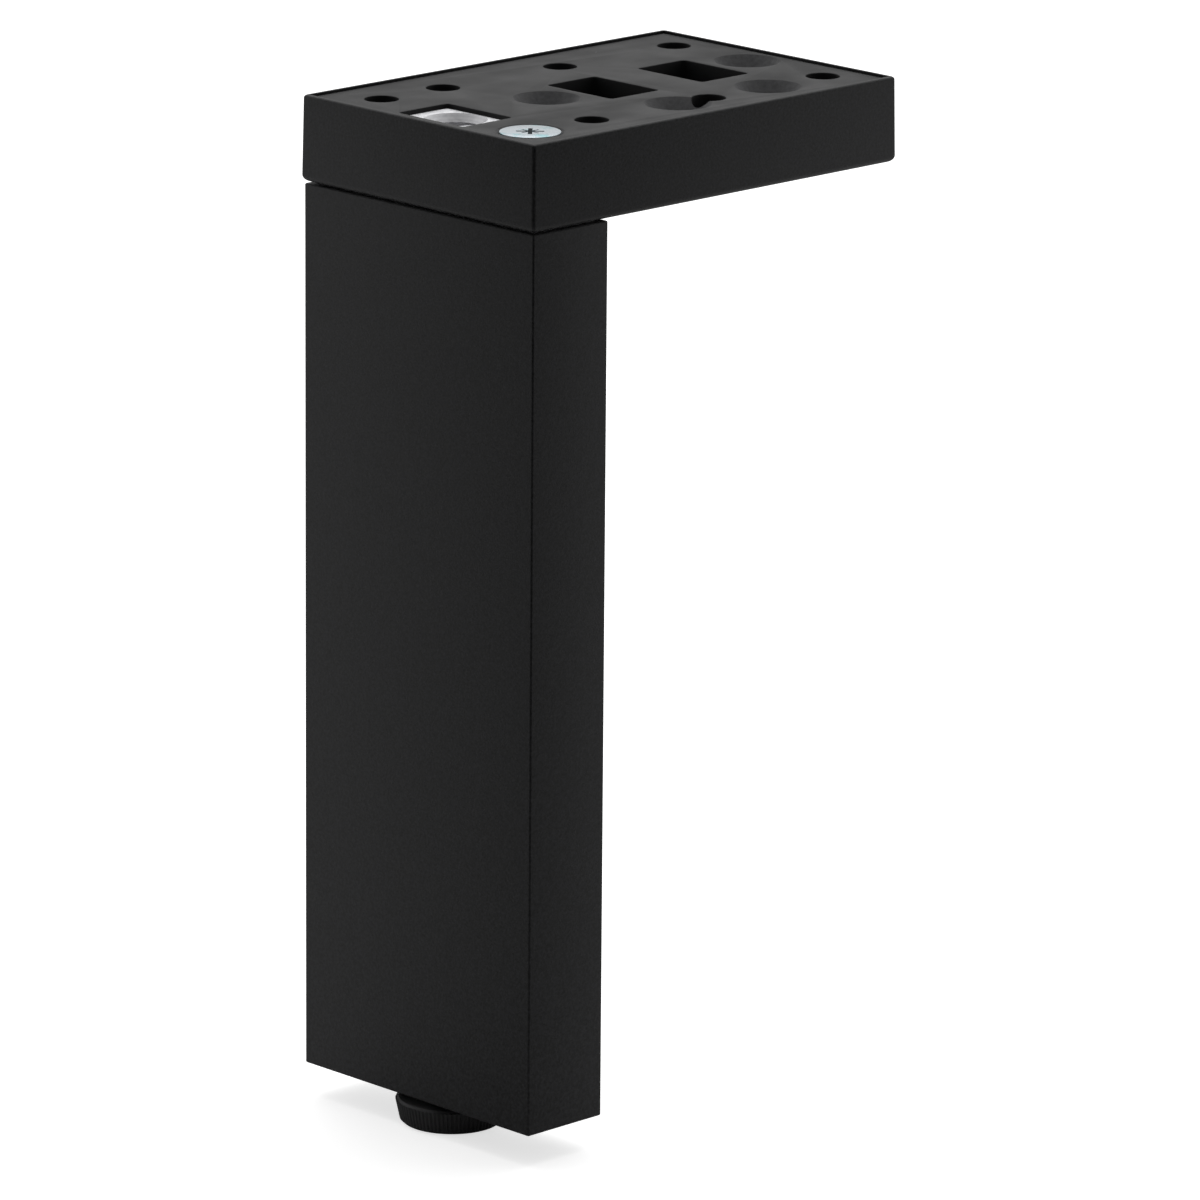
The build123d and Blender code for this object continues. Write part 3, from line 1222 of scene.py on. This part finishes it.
        low, high = self.disc_bottom + base, self.disc_top - self.top_chamfer
        profile = [
            (side(low) - inner - base * (1 - s), self.disc_bottom + base * (1 - c))
            for c, s in quarter(0, 90, self.base_steps)
        ]
        profile += [
            (side(low), low + self.rib_end),
            (side(high), high - self.rib_end),
            (side(high) - inner, high),
            (side(self.disc_top) - inner - self.top_chamfer, self.disc_top),
        ]
        disc = turned("ribbed_disc", self.axis, profile, self.rib_points * self.rib_count)
        share = 1 - self.rib_height / self.disc_radius
        pitch = 2 * math.pi / self.rib_count
        half_step = 0.5 / self.rib_points

        def groove(co: Vector) -> bool:
            """Tells whether a point of the side lies in a groove between two ribs.

            Args:
                co: Place of the point.

            Returns:
                True if it does.
            """
            radius = math.hypot(co.x - x, co.y - y)
            turn = (math.atan2(co.y - y, co.x - x) / pitch + half_step) % 1
            return radius > side(co.z) - self.rib_end and turn > self.rib_share

        with edit_mode(disc):
            pick(disc, Element.POINTS, groove)
            bpy.ops.transform.resize(value=(share, share, 1), center_override=(x, y, 0))
        flange, stud = self.flange_radius + self.stud_clearance, self.stud_radius + self.stud_clearance
        cavity = [
            (flange, self.stud_bottom),
            (flange, self.flange_top),
            (stud, self.flange_top),
            (stud, self.disc_top + OVERLAP),
        ]
        combine(disc, [turned("cutter", self.axis, cavity)])
        return disc

    def build(self, finishes: Finishes) -> None:
        """Models the pieces, dresses the nut and puts them in the frame.

        Args:
            finishes: The shared materials.
        """
        deliver(self.plug(), "end_plug", Body.LEG, finishes.plug)
        deliver(self.stud(), "foot_stud", Body.SPINDLE, finishes.zinc)
        deliver(self.disc(), "foot_disc", Body.DISC, finishes.foot)
        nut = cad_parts["foot_nut"]
        for place in nut.material_slots:
            place.material = finishes.zinc
        LOG.info("foot_nut: packed solid, finish %s", finishes.zinc.name)


# Studio


@dataclass
class Studio:
    """Pale floor, soft light and the camera. Lengths in millimetres."""

    floor_z: float = -205.3
    floor_half: float = 4000.0
    paper: str = "#e7e7e7"
    unlit_paper: str = "#101010"
    white: str = "#ffffff"
    behind: Triple = (0.699, 0.715, 0.0)
    unlit_span: Span = (-0.9, -0.3)
    unlit_level: float = 0.03
    camera_lift: float = 0.67
    mirror_lift: float = 0.3
    mirror_fade: Span = (300.0, 1200.0)
    room_span: Span = (-0.8, 0.8)
    room_levels: Span = (0.06, 0.95)
    lamp_place: Triple = (400.0, 350.0, 1200.0)
    lamp_aim: Triple = (0.0, 0.0, -60.0)
    lamp_size: float = 1500.0
    lamp_watts: float = 12.0
    camera_place: Triple = (-1160.35, -1178.09, 332.02)
    camera_forward: Triple = (0.67598, 0.69086, -0.25645)
    camera_down: Triple = (-0.17355, -0.18896, -0.96653)
    sensor: float = 36.0
    lens: float = 255.4
    shift: Place = (-0.0016, 0.0005)
    clip: Span = (100.0, 50000.0)

    def floor(self) -> None:
        """Lays the pale floor, which stays under the foot when the foot is screwed in or out."""
        bpy.ops.mesh.primitive_plane_add(size=2 * self.floor_half * MM, location=(0, 0, self.floor_z * MM))
        floor = settle(bpy.context.object, "studio_floor")
        floor.data.materials.append(self.floor_material())
        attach(floor, Body.SPINDLE.value)

    def floor_material(self) -> Material:
        """Matt paper that shows white to the camera, keeps the leg's shadow and is unlit on one side.

        Returns:
            The material.
        """
        material, add, place = new_material("matt_white_floor")
        path = add("ShaderNodeLightPath").outputs
        seen = path["Is Camera Ray"]
        rays = (path["Is Glossy Ray"], path["Is Transmission Ray"])
        mirrored = add("ShaderNodeMath", rays, operation="MAXIMUM")
        away = add("ShaderNodeVectorMath", (place,), operation="NORMALIZE")
        facing = add("ShaderNodeVectorMath", (away, self.behind), operation="DOT_PRODUCT")
        lit = add("ShaderNodeMapRange", (facing, *self.unlit_span, self.unlit_level, 1.0))
        full = add("ShaderNodeMath", (lit, seen), operation="MAXIMUM")
        distance = add("ShaderNodeVectorMath", (place,), operation="LENGTH")
        near, far = self.mirror_fade
        fade = add("ShaderNodeMapRange", (distance, near * MM, far * MM, 0.0, self.mirror_lift))
        dimmed = add("ShaderNodeMath", (fade, lit), operation="MULTIPLY")
        reflected = add("ShaderNodeMath", (dimmed, mirrored), operation="MULTIPLY")
        strength = add("ShaderNodeMath", (seen, self.camera_lift, reflected), operation="MULTIPLY_ADD")
        glow = add("ShaderNodeEmission", {"Color": self.white, "Strength": strength})
        shade = add(
            "ShaderNodeMix", {"Factor": full, "A": self.unlit_paper, "B": self.paper}, data_type="RGBA"
        )
        matt = add("ShaderNodeBsdfDiffuse", {"Color": shade})
        both = add("ShaderNodeAddShader", (glow, matt))
        add("ShaderNodeOutputMaterial", {"Surface": both})
        return material

    def world(self) -> None:
        """Soft room light: bright behind the leg and overhead, dimmer on the camera's side."""
        world = bpy.data.worlds.new("studio_room")
        bpy.context.scene.world = world
        add = empty_tree(world)
        direction = add("ShaderNodeTexCoord").outputs["Generated"]
        facing = add("ShaderNodeVectorMath", (direction, self.behind), operation="DOT_PRODUCT")
        levels = (facing, *self.room_span, *self.room_levels)
        strength = add("ShaderNodeMapRange", levels, interpolation_type="SMOOTHSTEP")
        light = add("ShaderNodeBackground", {"Color": self.white, "Strength": strength})
        add("ShaderNodeOutputWorld", {"Surface": light})

    def lamp(self) -> None:
        """Hangs one soft square lamp that faces the plate."""
        place = Vector(self.lamp_place)
        bpy.ops.object.light_add(type="AREA", location=place * MM)
        lamp = bpy.context.object
        lamp.name = "overhead_softbox"
        lamp.data.shape = "SQUARE"
        lamp.data.size = self.lamp_size * MM
        lamp.data.energy = self.lamp_watts
        lamp.rotation_euler = (Vector(self.lamp_aim) - place).to_track_quat("-Z", "Y").to_euler()

    def camera(self) -> None:
        """Places the camera at the photograph's angle."""
        data = bpy.data.cameras.new("studio_camera")
        camera = bpy.data.objects.new("studio_camera", data)
        bpy.context.scene.collection.objects.link(camera)
        forward = Vector(self.camera_forward).normalized()
        up = -Vector(self.camera_down).normalized()
        right = forward.cross(up).normalized()
        turn = Matrix((right, right.cross(forward), -forward)).transposed()
        camera.matrix_world = Matrix.Translation(Vector(self.camera_place) * MM) @ turn.to_4x4()
        data.sensor_width = self.sensor
        data.lens = self.lens
        data.shift_x, data.shift_y = self.shift
        data.clip_start, data.clip_end = [end * MM for end in self.clip]
        bpy.context.scene.camera = camera

    def build(self) -> None:
        """Sets up the floor, the light and the camera."""
        self.floor()
        self.world()
        self.lamp()
        self.camera()
        bpy.context.scene.view_settings.view_transform = "Standard"


def main() -> None:
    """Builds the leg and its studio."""
    logging.basicConfig(level=logging.INFO, format="%(name)s: %(message)s")
    finishes = Finishes.make()
    FixingPlate().build(finishes)
    Leg().build(finishes)
    Foot().build(finishes)
    Studio().build()
    bpy.context.view_layer.update()


if __name__ == "__main__":
    main()
